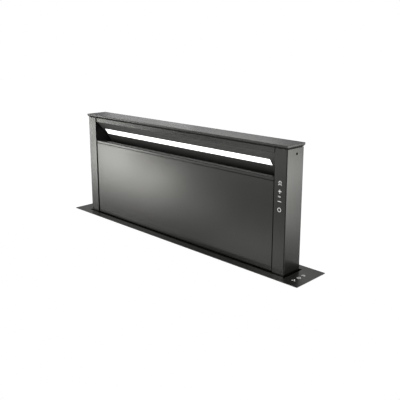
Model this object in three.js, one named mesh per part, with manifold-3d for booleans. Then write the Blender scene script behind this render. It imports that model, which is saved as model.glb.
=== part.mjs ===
// Downdraft vent for a 90 cm cooktop: a slim rising column behind the hob, its
// worktop flange, and the under-counter housing with the rack lift and the
// centrifugal blower.
//
// Units are millimetres, +Z up. The origin is the centre of the cut-out in the
// worktop, on the worktop's top surface. +X is the right-hand end seen from the
// front, and -Y is the front, the side that faces the cook. The column is drawn
// raised, which is the position it works in.

import * as THREE from 'three';
import * as BufferGeometryUtils from 'three/addons/utils/BufferGeometryUtils.js';
import Module from 'manifold-3d';

const wasm = await Module();
wasm.setup();

// ---------------------------------------------------------------- dimensions

// sheet thicknesses and fits
const T = 1.2;                 // folded sheet of the column and the housing
const SKIN = 1.0;              // door skin, scoop and sill sheet
const GAP = 0.3;               // between pieces that bear on each other

// worktop flange
const FLANGE_X = 900;          // overall width
const FLANGE_Y = 116.6;        // overall depth
const FLANGE_Z0 = 0.8;         // underside, on the compressed gasket
const FLANGE_TOP = 2.3;        // upper face
const MOUTH_X = 795.2;         // opening that the column rises through
const MOUTH_Y = 72.6;
const NECK_Z = -16;            // lower edge of the turned-down neck
const GASKET_T = 0.5;
const CUTOUT_X = 864;          // cut-out in the worktop
const CUTOUT_Y = 98;

// rising column
const COL_X = 784;             // width over the side skins
const COL_Y = 62.6;            // depth, front face to rear face
const COL_TOP = 311;           // top of skins, under the cap
const COL_BOTTOM = -75;        // lower edge of the skins
const TRAVEL = 318.7;          // lift stroke: the cap ends flush with the flange
const CAP_TOP = 321;
const CAP_EDGE_Z = 316.2;      // lower edge of the cap's upright rim
const CAP_LOW_Z = 311.9;       // lower edge of the cap's bevel
const CAP_X = 788;
const CAP_Y = 69.6;

// front of the column
const PILLAR_IN = 356.1;       // inner edge of the end fascias
const PILLAR_OUT = 389.8;      // outer edge of the end fascias
const FASCIA_T = 2.0;
const RECESS = 2.0;            // door, top rail and sill sit this far behind the fascias
const FRONT_X = 352.6;         // half width of what shows between the two seams
const WALL_IN = 356.6;         // air-channel face of the uprights
const DOOR_Z0 = 4.0;
const DOOR_Z1 = 230.7;
const DOOR_DEPTH = 14.0;       // fascia face to the back of the door's folded edges
const HINGE_Y = -25.5;
const HINGE_Z = 8.0;
const SILL_Z0 = 232.2;
const SILL_Z1 = 240.4;
const RAIL_Z0 = 298.7;         // lower edge of the top rail

// light bar in the scoop: centre of the diffuser face and its lean
const LED_Y = 4.1;
const LED_Z = 265.85;
const LED_LEAN = 35.62 * Math.PI / 180;
const LED_X0 = -347;
const LED_X1 = 318;
const LED_W = 20.8;

// grease filters
const FILTER_W = 236;
const FILTER_L = 214;
const FILTER_T = 9;
const FILTER_Y = 6.9;
const FILTER_Z = 122;
const FILTER_LEAN = 9.8 * Math.PI / 180;

// lift: rack and pinion at each end, joined by a cross shaft
const MODULE = 2;
const TEETH = 14;
const PITCH_R = MODULE * TEETH / 2;
const SHAFT_Z = -62;
const SHAFT_R = 4;
const RACK_Z0 = -400;
const RACK_Z1 = -38;

// under-counter housing
const HOUSE_X = 856;
const HOUSE_Y = 92;
const HOUSE_Z0 = -700;
const HOUSE_Z1 = 0.5;

// blower
const BLOW_HX = 172;           // half width of the blower box
const BLOW_Z0 = -700;
const BLOW_Z1 = -412;
const BLOW_Y0 = -250;
const FAN_X = -20;
const FAN_Z = -566;
const FAN_R = 95;
const SCROLL_Y0 = -204;
const SCROLL_Y1 = -80;
const SCROLL_R0 = 104;         // volute radius at the tongue
const SCROLL_R1 = 132;         // volute radius at the throat
const DUCT_Y = -142;
const DUCT_Z = -491;
const DUCT_R = 75;             // 150 mm duct connection

// ------------------------------------------------------------------- helpers

// A closed triangle mesh as a solid.
function solid(geometry) {
  const g = geometry.index ? geometry.toNonIndexed() : geometry.clone();
  for (const key of Object.keys(g.attributes)) {
    if (key !== 'position') g.deleteAttribute(key);
  }
  const m = BufferGeometryUtils.mergeVertices(g, 1e-4);
  return new wasm.Manifold(new wasm.Mesh({
    numProp: 3,
    vertProperties: new Float32Array(m.attributes.position.array),
    triVerts: new Uint32Array(m.index.array),
  }));
}

// The solid back as a triangle mesh.
function geometryOf(body) {
  const mesh = body.getMesh();
  const g = new THREE.BufferGeometry();
  g.setAttribute('position', new THREE.BufferAttribute(new Float32Array(mesh.vertProperties), 3));
  g.setIndex(new THREE.BufferAttribute(new Uint32Array(mesh.triVerts), 1));
  g.computeVertexNormals();
  return g;
}

function join(...bodies) {
  return bodies.reduce((a, b) => a.add(b));
}

function cut(body, ...tools) {
  return tools.reduce((a, b) => a.subtract(b), body);
}

function box(x0, x1, y0, y1, z0, z1) {
  const g = new THREE.BoxGeometry(x1 - x0, y1 - y0, z1 - z0);
  g.translate((x0 + x1) / 2, (y0 + y1) / 2, (z0 + z1) / 2);
  return solid(g);
}

const X = new THREE.Vector3(1, 0, 0);
const Y = new THREE.Vector3(0, 1, 0);
const Z = new THREE.Vector3(0, 0, 1);
const ALONG_X = new THREE.Matrix4().makeBasis(Y, Z, X);
const ALONG_Y = new THREE.Matrix4().makeBasis(Z, X, Y);

function extrude(points, length) {
  const s = new THREE.Shape(points.map(([a, b]) => new THREE.Vector2(a, b)));
  return new THREE.ExtrudeGeometry(s, { depth: length, bevelEnabled: false, steps: 1 });
}

// Prism between two stations along one axis, less its holes.
function prism(points, a, b, holes, basis) {
  const one = (list, from, to) => {
    const g = extrude(list, to - from).translate(0, 0, from);
    return solid(basis ? g.applyMatrix4(basis) : g);
  };
  return cut(one(points, a, b), ...holes.map((h) => one(h, a - 1, b + 1)));
}

// Prism along X of a profile of [Y, Z] points.
function prismX(points, x0, x1, holes = []) {
  return prism(points, x0, x1, holes, ALONG_X);
}

// Prism along Y of a profile of [X, Z] points.
function prismY(points, y0, y1, holes = []) {
  const flip = (list) => list.map(([x, z]) => [z, x]);
  return prism(flip(points), y0, y1, holes.map(flip), ALONG_Y);
}

// Prism along Z of a profile of [X, Y] points.
function prismZ(points, z0, z1, holes = []) {
  return prism(points, z0, z1, holes, null);
}

function rodX(r, x0, x1, y, z, n = 24) {
  const g = new THREE.CylinderGeometry(r, r, x1 - x0, n).rotateZ(Math.PI / 2);
  return solid(g.translate((x0 + x1) / 2, y, z));
}

function rodY(r, y0, y1, x, z, n = 32) {
  const g = new THREE.CylinderGeometry(r, r, y1 - y0, n);
  return solid(g.translate(x, (y0 + y1) / 2, z));
}

function rodZ(r, z0, z1, x, y, n = 24) {
  const g = new THREE.CylinderGeometry(r, r, z1 - z0, n).rotateX(Math.PI / 2);
  return solid(g.translate(x, y, (z0 + z1) / 2));
}

function arc(cx, cy, r, a0, a1, n) {
  const list = [];
  for (let i = 0; i <= n; i += 1) {
    const a = (a0 + (a1 - a0) * i / n) * Math.PI / 180;
    list.push([cx + r * Math.cos(a), cy + r * Math.sin(a)]);
  }
  return list;
}

// Rectangular frame seen along Z.
function frameZ(hx, hy, ix, iy, z0, z1) {
  return prismZ([[-hx, -hy], [hx, -hy], [hx, hy], [-hx, hy]], z0, z1,
    [[[-ix, -iy], [-ix, iy], [ix, iy], [ix, -iy]]]);
}

// Puts one solid in a group as a named mesh. The solid is written in the
// object's own frame, and the group only has a position; a solid for a turned
// group is written in that group's frame (own = true).
function place(group, name, body, material, own = false) {
  const g = geometryOf(body);
  g.computeBoundingBox();
  const c = g.boundingBox.getCenter(new THREE.Vector3());
  g.translate(-c.x, -c.y, -c.z);
  const mesh = new THREE.Mesh(g, material);
  mesh.name = name;
  mesh.position.copy(own ? c : c.sub(group.position));
  group.add(mesh);
  return mesh;
}

function finish(color, roughness, metalness, extra = {}) {
  return new THREE.MeshStandardMaterial({ color, roughness, metalness, ...extra });
}

const coated = () => finish(0x4a4a46, 0.38, 0.85);      // anodised dark grey sheet
const zinc = () => finish(0xa9abab, 0.45, 0.9);         // zinc-coated sheet
const steel = () => finish(0x8d8f90, 0.35, 1.0);        // turned or ground steel
const polymer = () => finish(0x26272a, 0.6, 0.0);       // black glass-filled polymer
const acetal = () => finish(0xe4e2da, 0.5, 0.0);        // white sliding polymer
const rubber = () => finish(0x1a1a1b, 0.85, 0.0);
const board = () => finish(0x1f4a33, 0.5, 0.1);
const filterMetal = () => finish(0xb9bab8, 0.4, 0.95);

const group = new THREE.Group();
group.name = 'downdraft_vent';

const column = new THREE.Group();
column.name = 'column_group';
group.add(column);

// ---------------------------------------------------------- column: the skins

const HX = COL_X / 2;
const HY = COL_Y / 2;
const FACE_Y = -HY + RECESS;
const seamCuts = (z0, z1) => [
  box(FRONT_X, 360, FACE_Y - 1, FACE_Y + 3, z0, z1), box(-360, -FRONT_X, FACE_Y - 1, FACE_Y + 3, z0, z1)];

// Cap: a plate with an upright rim and a bevel below it, hollowed underneath.
// The bevel on all four sides is where two bevelled prisms cross.
const capLong = prismX([
  [-CAP_Y / 2, CAP_TOP], [-CAP_Y / 2, CAP_EDGE_Z], [-HY + 0.3, CAP_LOW_Z],
  [HY - 0.3, CAP_LOW_Z], [CAP_Y / 2, CAP_EDGE_Z], [CAP_Y / 2, CAP_TOP],
], -CAP_X / 2, CAP_X / 2);
const capWide = prismY([
  [-CAP_X / 2, CAP_TOP + 1], [-CAP_X / 2, CAP_EDGE_Z], [-HX + 0.5, CAP_LOW_Z - 0.001],
  [HX - 0.5, CAP_LOW_Z - 0.001], [CAP_X / 2, CAP_EDGE_Z], [CAP_X / 2, CAP_TOP + 1],
], -CAP_Y, CAP_Y);
place(column, 'top_cap',
  cut(capLong.intersect(capWide), box(-388, 388, -28.5, 28.5, CAP_LOW_Z - 2, 318.5)), coated());

// Top rail: an angle that closes the front above the scoop and ties the uprights.
// Its front leg stops short of the fascias, so a seam shows on both sides.
place(column, 'top_rail', cut(prismX([
  [FACE_Y, RAIL_Z0], [FACE_Y, COL_TOP - 0.1], [HY - 1.5, COL_TOP - 0.1], [HY - 1.5, COL_TOP - 1.3],
  [FACE_Y + T, COL_TOP - 1.3], [FACE_Y + T, RAIL_Z0],
], -355.7, 355.7), ...seamCuts(RAIL_Z0 - 1, COL_TOP + 1)), coated());

// Uprights: folded channels. The outer leg is the visible end face, the inner
// leg bounds the air channel, and the web backs the fascia.
function upright(side) {
  const p = [
    [WALL_IN, -29.0], [HX - T, -29.0], [HX - T, -HY + 0.7], [HX, -HY + 0.7], [HX, HY - 1.5],
    [380, HY - 1.5], [380, HY - 2.7], [HX - T, HY - 2.7], [HX - T, -27.8],
    [WALL_IN + T, -27.8], [WALL_IN + T, HY - 2.7], [368, HY - 2.7], [368, HY - 1.5], [WALL_IN, HY - 1.5],
  ].map(([x, y]) => [side * x, y]);
  const a = side > 0 ? [385, 396] : [-396, -385];
  const all = side > 0 ? [350, 396] : [-396, -350];
  const inner = side > 0 ? [350, 362] : [-362, -350];
  let body = cut(prismZ(p, COL_BOTTOM, COL_TOP),
    rodX(3.25, a[0], a[1], 4.6, 297.4, 24),
    rodX(6.5, all[0], all[1], 0, SHAFT_Z, 20),
    rodX(2.0, inner[0], inner[1], HINGE_Y, HINGE_Z, 16));
  if (side > 0) body = cut(body, box(361, 387, -31, -25, 149.5, 245.5));
  return body;
}
place(column, 'upright_left', upright(-1), coated());
place(column, 'upright_right', upright(1), coated());

// Rear skin, with the ledge the filters stand on.
place(column, 'rear_skin', join(
  box(-HX, HX, HY - T, HY, COL_BOTTOM, COL_TOP),
  box(-355.5, 355.5, 18.5, HY - T + 0.1, 14.3, 15.5)), coated());

// End fascias. The right one carries the printed touch symbols.
for (const side of [-1, 1]) {
  const x = side > 0 ? [PILLAR_IN, PILLAR_OUT] : [-PILLAR_OUT, -PILLAR_IN];
  place(column, side > 0 ? 'fascia_right' : 'fascia_left',
    box(x[0], x[1], -HY, -HY + FASCIA_T, COL_BOTTOM, COL_TOP), coated());
}

// Apron below the door, with a stiffening return.
place(column, 'front_apron', join(
  box(-355.6, 355.6, -HY + 0.3, -HY + 0.3 + T, COL_BOTTOM, 1.5),
  box(-340, 340, -HY + 0.3, -22.5, COL_BOTTOM, COL_BOTTOM + T)), coated());

// Sill rail above the door: its folded top is the lower lip of the air inlet.
place(column, 'sill_rail', cut(prismX([
  [FACE_Y, SILL_Z0], [FACE_Y, 238.2], [FACE_Y + 2, SILL_Z1], [-16, SILL_Z1], [-16, 222], [-17, 222],
  [-17, SILL_Z1 - SKIN], [FACE_Y + 2.4, SILL_Z1 - SKIN], [FACE_Y + SKIN, 237.8], [FACE_Y + SKIN, SILL_Z0],
], -355.7, 355.7), ...seamCuts(SILL_Z0 - 1, SILL_Z1 + 1)), coated());

// Inlet scoop: a curved sheet from the top rail down to the rear skin, with the
// slot for the light bar.
const scoopCurve = new THREE.CubicBezierCurve(
  new THREE.Vector2(FACE_Y + 1.6, 299.2), new THREE.Vector2(-7.8, 280),
  new THREE.Vector2(20.6, 252.7), new THREE.Vector2(28.4, 226));
const scoopFront = [];
const scoopBack = [];
for (let i = 0; i <= 20; i += 1) {
  const p = scoopCurve.getPoint(i / 20);
  const t = scoopCurve.getTangent(i / 20);
  scoopFront.push([p.x, p.y]);
  scoopBack.push([p.x - t.y * SKIN, p.y + t.x * SKIN]);
}
function ledBox(x0, x1, y0, y1, z0, z1) {
  const g = new THREE.BoxGeometry(x1 - x0, y1 - y0, z1 - z0);
  g.translate((x0 + x1) / 2, (y0 + y1) / 2, (z0 + z1) / 2);
  return solid(g.rotateX(LED_LEAN).translate(0, LED_Y, LED_Z));
}
place(column, 'inlet_scoop', cut(
  prismX([...scoopFront, ...scoopBack.reverse()], -355.7, 355.7),
  ledBox(LED_X0 - 0.4, LED_X1 + 0.4, -6, 8, -LED_W / 2 - 0.4, LED_W / 2 + 0.4)), coated());

// Light bar behind the slot, in its own leaning frame: diffuser, channel, board.
const lamp = new THREE.Group();
lamp.name = 'light_bar';
lamp.position.set(0, LED_Y, LED_Z);
lamp.rotation.x = LED_LEAN;
column.add(lamp);
place(lamp, 'light_diffuser', box(LED_X0, LED_X1, 0, 3, -LED_W / 2, LED_W / 2),
  finish(0xffffff, 0.4, 0.0, { emissive: 0xffffff, emissiveIntensity: 1.5 }), true);
place(lamp, 'led_channel', prismX([
  [2.2, -15], [2.2, -13.8], [14.8, -13.8], [14.8, 13.8], [2.2, 13.8], [2.2, 15], [16, 15], [16, -15],
], LED_X0 - 2, LED_X1 + 2), finish(0xc4c6c8, 0.35, 0.9), true);
place(lamp, 'led_board', box(LED_X0 + 2, LED_X1 - 2, 12.9, 14.5, -9, 9), finish(0xe8e8e4, 0.5, 0.0), true);

// ------------------------------------------------------- column: the filters

// Three lift-out metal filters that lean across the air channel. Each has a
// rim, a recessed mesh pack and a folded finger tab.
const filterNames = ['filter_left', 'filter_middle', 'filter_right'];
[-237.5, 0, 237.5].forEach((x, i) => {
  const holder = new THREE.Group();
  holder.position.set(x, FILTER_Y, FILTER_Z);
  holder.rotation.x = FILTER_LEAN;
  column.add(holder);
  const w = FILTER_W / 2;
  const l = FILTER_L / 2;
  const t = FILTER_T / 2;
  const body = join(
    cut(box(-w, w, -t, t, -l, l),
      box(-w + 10, w - 10, -t - 1, -t + 2, -l + 10, l - 10),
      box(-w + 10, w - 10, t - 2, t + 1, -l + 10, l - 10)),
    box(-24, 24, -t - 7, -t + 2.5, -72, -70.8),
    box(-24, 24, -t - 7, -t - 5.8, -80, -70.8));
  place(holder, filterNames[i], body, filterMetal(), true);
});

// --------------------------------------------- column: controls and carriage

place(column, 'touch_board', box(361.5, 386.5, -29.0, -27.4, 150, 245), board());

// Base frame: ties the uprights at the foot; two large windows pass the air.
place(column, 'base_frame', prismZ(
  [[-356.2, -28.7], [356.2, -28.7], [356.2, 29.7], [-356.2, 29.7]], -44, -42.5,
  [[[-340, -22], [-340, 22], [-40, 22], [-40, -22]], [[40, -22], [40, 22], [340, 22], [340, -22]]]), zinc());

for (const side of [-1, 1]) {
  const word = side > 0 ? 'right' : 'left';
  const s = (a, b) => (side > 0 ? [a, b] : [-b, -a]);
  const [p0, p1] = s(392.3, 395.3);
  const [q0, q1] = s(390, 398);
  place(column, `carriage_plate_${word}`, cut(
    box(p0, p1, -26, 34, -80, -22),
    rodX(4.3, q0, q1, 0, SHAFT_Z, 20)), zinc());

  // Glide shoe: a polymer block with a T slot round the guide rail's head.
  place(column, `glide_shoe_${word}`, prismZ([
    [395.6, 16.6], [411, 16.6], [411, 23.6], [406.4, 23.6], [406.4, 18.6], [403.6, 18.6],
    [403.6, 31.4], [406.4, 31.4], [406.4, 26.4], [411, 26.4], [411, 35.4], [395.6, 35.4],
  ].map(([x, y]) => [side * x, y]), -78, -24), acetal());
}

place(column, 'lift_gearbox', cut(
  join(box(-26, 26, -21, 21, -88, -44.6), box(-32, 32, -12, 12, -49, -44.6)),
  rodX(4.4, -40, 40, 0, SHAFT_Z, 20)), finish(0x5c5f63, 0.5, 0.6));
place(column, 'lift_motor', join(
  rodZ(17.5, -156, -88.4, 0, 0, 32), rodZ(7, -160, -155, 0, 0, 20), rodZ(19, -96, -88.4, 0, 0, 32)),
  finish(0x3b3d40, 0.45, 0.8));

// --------------------------------------------------------- lift: cross shaft

const lift = new THREE.Group();
lift.name = 'lift_shaft_group';
lift.position.set(0, 0, SHAFT_Z);
column.add(lift);

place(lift, 'cross_shaft', rodX(SHAFT_R, -416, 416, 0, SHAFT_Z, 20), steel());

// Pinion: involute flanks on the base circle, one tooth on the line of centres.
function involute(a) {
  return Math.tan(a) - a;
}
function pinionOutline() {
  const pressure = 20 * Math.PI / 180;
  const base = PITCH_R * Math.cos(pressure);
  const half = 2.94 / PITCH_R / 2;
  const at = (r) => half + involute(pressure) - involute(Math.acos(base / r));
  const flank = [[11.4, at(base)], [base, at(base)], [14, at(14)], [15, at(15)], [15.8, at(15.8)]];
  const list = [];
  for (let k = 0; k < TEETH; k += 1) {
    const mid = Math.PI + k * 2 * Math.PI / TEETH;
    for (const [r, a] of flank) list.push([r * Math.cos(mid - a), r * Math.sin(mid - a)]);
    for (const [r, a] of [...flank].reverse()) list.push([r * Math.cos(mid + a), r * Math.sin(mid + a)]);
  }
  return list.map(([y, z]) => [y, z + SHAFT_Z]);
}
for (const side of [-1, 1]) {
  const x = side > 0 ? [403, 413] : [-413, -403];
  const hub = side > 0 ? [398, 413.0] : [-413.0, -398];
  place(lift, side > 0 ? 'pinion_right' : 'pinion_left', cut(
    join(prismX(pinionOutline(), x[0], x[1]), rodX(8, hub[0], hub[1], 0, SHAFT_Z, 24)),
    rodX(SHAFT_R + GAP, x[0] - 8, x[1] + 8, 0, SHAFT_Z, 20)), steel());
}

// ------------------------------------------------------ drop-down front panel

const door = new THREE.Group();
door.name = 'front_door_group';
door.position.set(0, HINGE_Y, HINGE_Z);
column.add(door);

const DX = FRONT_X;
const DB = -HY + DOOR_DEPTH;
place(door, 'front_panel', join(
  cut(box(-DX, DX, FACE_Y, DB, DOOR_Z0, DOOR_Z1),
    box(-DX + SKIN, DX - SKIN, FACE_Y + SKIN, DB + 5, DOOR_Z0 + SKIN, DOOR_Z1 - SKIN)),
  rodX(1.5, DX - 0.5, 360, HINGE_Y, HINGE_Z, 16),
  rodX(1.5, -360, -DX + 0.5, HINGE_Y, HINGE_Z, 16)), coated());
place(door, 'panel_liner', box(-DX + 1.3, DX - 1.3, DB + GAP, DB + GAP + T, 5, 220.5), zinc());

// ------------------------------------------------------------ worktop flange

const chassis = new THREE.Group();
chassis.name = 'chassis_group';
group.add(chassis);

const MX = MOUTH_X / 2;
const MY = MOUTH_Y / 2;
place(chassis, 'worktop_flange', join(
  frameZ(FLANGE_X / 2, FLANGE_Y / 2, MX, MY, FLANGE_Z0, FLANGE_TOP),
  frameZ(MX + T, MY + T, MX, MY, NECK_Z, FLANGE_TOP)), coated());
place(chassis, 'flange_gasket', frameZ(449, 57.3, 433, 49.5, 0, GASKET_T), rubber());
place(chassis, 'wiper_seal', frameZ(MX - GAP, MY - GAP, HX + 0.5, HY + 0.5, -15.5, -11.5), rubber());
place(chassis, 'flange_touch_board', box(400, 425.5, -42.8, 19, -1.1, 0.5), board());

// ------------------------------------------------------ under-counter housing

const WX = HOUSE_X / 2;
const WY = HOUSE_Y / 2;
place(chassis, 'housing_front', cut(
  box(-WX, WX, -WY, -WY + T, HOUSE_Z0, HOUSE_Z1),
  rodY(80, -WY - 2, -WY + 4, FAN_X, FAN_Z, 48)), zinc());
place(chassis, 'housing_rear', box(-WX, WX, WY - T, WY, HOUSE_Z0, HOUSE_Z1), zinc());
for (const side of [-1, 1]) {
  place(chassis, side > 0 ? 'housing_right' : 'housing_left', prismZ([
    [WX, -WY + T + GAP], [WX, WY - T - GAP], [WX - 13.2, WY - T - GAP], [WX - 13.2, WY - 2 * T - GAP],
    [WX - T, WY - 2 * T - GAP], [WX - T, -WY + 2 * T + GAP], [WX - 13.2, -WY + 2 * T + GAP],
    [WX - 13.2, -WY + T + GAP],
  ].map(([x, y]) => [side * x, y]), HOUSE_Z0 + 1.8, HOUSE_Z1), zinc());
}
place(chassis, 'housing_floor', box(-WX, WX, -WY + T + GAP, WY - T - GAP, HOUSE_Z0, HOUSE_Z0 + T), zinc());

// Racks: fixed inside the housing's ends, teeth towards the shaft. A tooth
// space is centred on the shaft's height in the raised position.
function rackOutline() {
  const pitch = Math.PI * MODULE;
  const line = -PITCH_R;
  const tip = line + 1.6;
  const root = line - 2.5;
  const slope = Math.tan(20 * Math.PI / 180);
  const list = [[-28, RACK_Z0], [root, RACK_Z0]];
  for (let k = -54; k <= 2; k += 1) {
    const z = SHAFT_Z + pitch / 2 + k * pitch;
    if (z - 2.6 < RACK_Z0 || z + 2.6 > RACK_Z1) continue;
    const atTip = pitch / 4 - 1.6 * slope;
    const atRoot = pitch / 4 + 2.5 * slope;
    list.push([root, z - atRoot], [tip, z - atTip], [tip, z + atTip], [root, z + atRoot]);
  }
  list.push([root, RACK_Z1], [-28, RACK_Z1]);
  return list;
}
for (const side of [-1, 1]) {
  const word = side > 0 ? 'right' : 'left';
  const s = (a, b) => (side > 0 ? [a, b] : [-b, -a]);
  const [r0, r1] = s(402, 414);
  const [f0, f1] = s(413.5, WX - T - GAP);
  place(chassis, `rack_${word}`, join(
    prismX(rackOutline(), r0, r1),
    box(f0, f1, -28, -24, RACK_Z0, RACK_Z1)), steel());

  // Guide rail: a T section that the glide shoe runs on.
  const [h0, h1] = s(404, 406);
  const [w0, w1] = s(405.9, WX - T - GAP);
  place(chassis, `guide_rail_${word}`, join(
    box(h0, h1, 19, 31, -405, -18),
    box(w0, w1, 24, 26, -405, -18)), steel());

  // Fixing bracket: a hat section on the housing's end, screwed to the cabinet.
  place(chassis, `fixing_bracket_${word}`, cut(
    prismZ([
      [WX + GAP, -32], [WX + GAP + 1.5, -32], [WX + GAP + 1.5, -20], [WX + 4, -20], [WX + 4, 20],
      [WX + GAP + 1.5, 20], [WX + GAP + 1.5, 32], [WX + GAP, 32], [WX + GAP, 18.5],
      [WX + 2.5, 18.5], [WX + 2.5, -18.5], [WX + GAP, -18.5],
    ].map(([x, y]) => [side * x, y]), -640, -560),
    rodX(2.6, side > 0 ? WX + 1 : -WX - 6, side > 0 ? WX + 6 : -WX - 1, 0, -620, 16)), zinc());
}

// ------------------------------------------------------------------- blower

const blower = new THREE.Group();
blower.name = 'blower_group';
chassis.add(blower);

place(blower, 'blower_box', cut(
  prismY(
    [[-BLOW_HX, BLOW_Z0], [BLOW_HX, BLOW_Z0], [BLOW_HX, BLOW_Z1], [-BLOW_HX, BLOW_Z1]],
    BLOW_Y0, -WY - GAP,
    [[[-BLOW_HX + T, BLOW_Z0 + T], [-BLOW_HX + T, BLOW_Z1 - T], [BLOW_HX - T, BLOW_Z1 - T], [BLOW_HX - T, BLOW_Z0 + T]]]),
  rodX(73, BLOW_HX - 4, BLOW_HX + 4, DUCT_Y, DUCT_Z, 48)), zinc());
place(blower, 'blower_cover', join(
  box(-BLOW_HX, BLOW_HX, BLOW_Y0 - 1.5, BLOW_Y0 - GAP, BLOW_Z0, BLOW_Z1)), zinc());

// Volute: the radius grows clockwise seen from the front, from the tongue at
// +10 degrees round to the top, where the throat leaves towards +X.
function volute(offset) {
  const list = [];
  const n = 56;
  for (let i = 0; i <= n; i += 1) {
    const a = (10 - 280 * i / n) * Math.PI / 180;
    const r = SCROLL_R0 + (SCROLL_R1 - SCROLL_R0) * i / n + offset;
    list.push([FAN_X + r * Math.cos(a), FAN_Z + r * Math.sin(a)]);
  }
  return list;
}
const THROAT_X = BLOW_HX - T - 0.5;
const throatLow = FAN_Z + SCROLL_R0 * Math.sin(10 * Math.PI / 180);
const scrollOuter = [...volute(0), [THROAT_X, FAN_Z + SCROLL_R1], [THROAT_X, throatLow]];
const scrollInner = [...volute(-2), [THROAT_X + 5, FAN_Z + SCROLL_R1 - 2], [THROAT_X + 5, throatLow + 2]];
place(blower, 'scroll_body', cut(
  prismY(scrollOuter, SCROLL_Y0, SCROLL_Y1),
  prismY(scrollInner, SCROLL_Y0 - 5, SCROLL_Y1 - 2),
  rodY(77, SCROLL_Y1 - 6, SCROLL_Y1 + 5, FAN_X, FAN_Z, 48)), polymer());
place(blower, 'scroll_lid', cut(
  prismY(scrollOuter, SCROLL_Y0 - 2.3, SCROLL_Y0 - GAP),
  rodY(8, SCROLL_Y0 - 6, SCROLL_Y0 + 4, FAN_X, FAN_Z, 24)), polymer());

// Inlet ring: a bellmouth from the housing's outlet into the wheel's eye.
const ring = [[95, 0], [95, 1.5], [83.5, 1.5], [79, 6], [75.8, 14], [74.2, 24], [74, 49.7],
  [72.5, 49.7], [72.7, 24], [74.4, 13.4], [77.8, 5], [82, 0]];
const ringLathe = new THREE.LatheGeometry(
  [...ring, ring[0]].map(([r, h]) => new THREE.Vector2(r, h)).reverse(), 48);
let ringSolid = solid(ringLathe);
if (ringSolid.volume() < 0) ringSolid = solid(new THREE.LatheGeometry(
  [...ring, ring[0]].map(([r, h]) => new THREE.Vector2(r, h)), 48));
place(blower, 'inlet_ring', ringSolid.rotate([180, 0, 0]).translate([FAN_X, -WY - GAP, FAN_Z]), polymer());

place(blower, 'fan_motor', cut(
  join(rodY(50, -240, -208, FAN_X, FAN_Z, 40), rodY(36, -246, -238, FAN_X, FAN_Z, 40)),
  rodY(4.5, -222, -200, FAN_X, FAN_Z, 16)), finish(0x44474a, 0.5, 0.7));

// Duct collar: a square plate on the box with the round spigot for the duct.
place(blower, 'duct_collar', cut(
  join(
    box(BLOW_HX + GAP, BLOW_HX + 1.8, DUCT_Y - 80, DUCT_Y + 80, DUCT_Z - 78, DUCT_Z + 78),
    rodX(DUCT_R, BLOW_HX + 1, 225, DUCT_Y, DUCT_Z, 64)),
  rodX(DUCT_R - 1.5, BLOW_HX - 5, 230, DUCT_Y, DUCT_Z, 64)), zinc());
const PIN_X = 200;
place(blower, 'flap_pin', rodZ(1.5, DUCT_Z - 73.2, DUCT_Z + 73.2, PIN_X, DUCT_Y, 12), steel());

// Wheel: forward-curved blades between a back plate and an end ring.
const wheel = new THREE.Group();
wheel.name = 'fan_wheel_group';
wheel.position.set(FAN_X, DUCT_Y, FAN_Z);
blower.add(wheel);
const blades = [];
const BLADES = 24;
for (let i = 0; i < BLADES; i += 1) {
  const a = i * 2 * Math.PI / BLADES;
  const at = (r, turn) => [FAN_X + r * Math.cos(a + turn), FAN_Z + r * Math.sin(a + turn)];
  blades.push(prismY([at(79, 0), at(87, -0.035), at(94.6, -0.115), at(94.9, -0.095), at(87, -0.012), at(79, 0.024)],
    -197, -91));
}
const wheelBack = rodY(FAN_R, -198, -196, FAN_X, FAN_Z, 48);
const wheelRing = cut(rodY(FAN_R, -92, -90, FAN_X, FAN_Z, 48), rodY(78.5, -93, -89, FAN_X, FAN_Z, 48));
place(wheel, 'impeller', join(wheelBack, wheelRing, ...blades,
  rodY(12, -196.5, -176, FAN_X, FAN_Z, 24), rodY(4, -220, -190, FAN_X, FAN_Z, 16)), polymer());

// Back-draught flaps: two half discs on one upright pin, folding downstream.
const frontKnuckles = [[-60, -36], [-12, 12], [36, 60]];
const rearKnuckles = [[-35, -13], [13, 35]];
function flap(sideY, mine, other) {
  const disc = arc(0, 0, 71.5, -90, 90, 28).map(([a, b]) => [DUCT_Y + sideY * a, DUCT_Z + b]);
  let body = cut(prismX(disc, PIN_X - 3.2, PIN_X - 2),
    box(PIN_X - 6, PIN_X + 6, sideY > 0 ? DUCT_Y - 80 : DUCT_Y - 0.4, sideY > 0 ? DUCT_Y + 0.4 : DUCT_Y + 80, DUCT_Z - 80, DUCT_Z + 80));
  for (const [a, b] of mine) body = join(body, rodZ(3.2, DUCT_Z + a, DUCT_Z + b, PIN_X, DUCT_Y, 20));
  for (const [a, b] of other) {
    body = cut(body, box(PIN_X - 6, PIN_X + 6, DUCT_Y - 3.8, DUCT_Y + 3.8, DUCT_Z + a - 0.5, DUCT_Z + b + 0.5));
  }
  return cut(body, rodZ(1.8, DUCT_Z - 75, DUCT_Z + 75, PIN_X, DUCT_Y, 12));
}
const flapFront = new THREE.Group();
flapFront.name = 'damper_front_group';
flapFront.position.set(PIN_X, DUCT_Y, DUCT_Z);
blower.add(flapFront);
place(flapFront, 'damper_flap_front', flap(-1, frontKnuckles, rearKnuckles), finish(0xd8d9d6, 0.55, 0.0));
const flapRear = new THREE.Group();
flapRear.name = 'damper_rear_group';
flapRear.position.set(PIN_X, DUCT_Y, DUCT_Z);
blower.add(flapRear);
place(flapRear, 'damper_flap_rear', flap(1, rearKnuckles, frontKnuckles), finish(0xd8d9d6, 0.55, 0.0));

// -------------------------------------------------------------- control box

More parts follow.
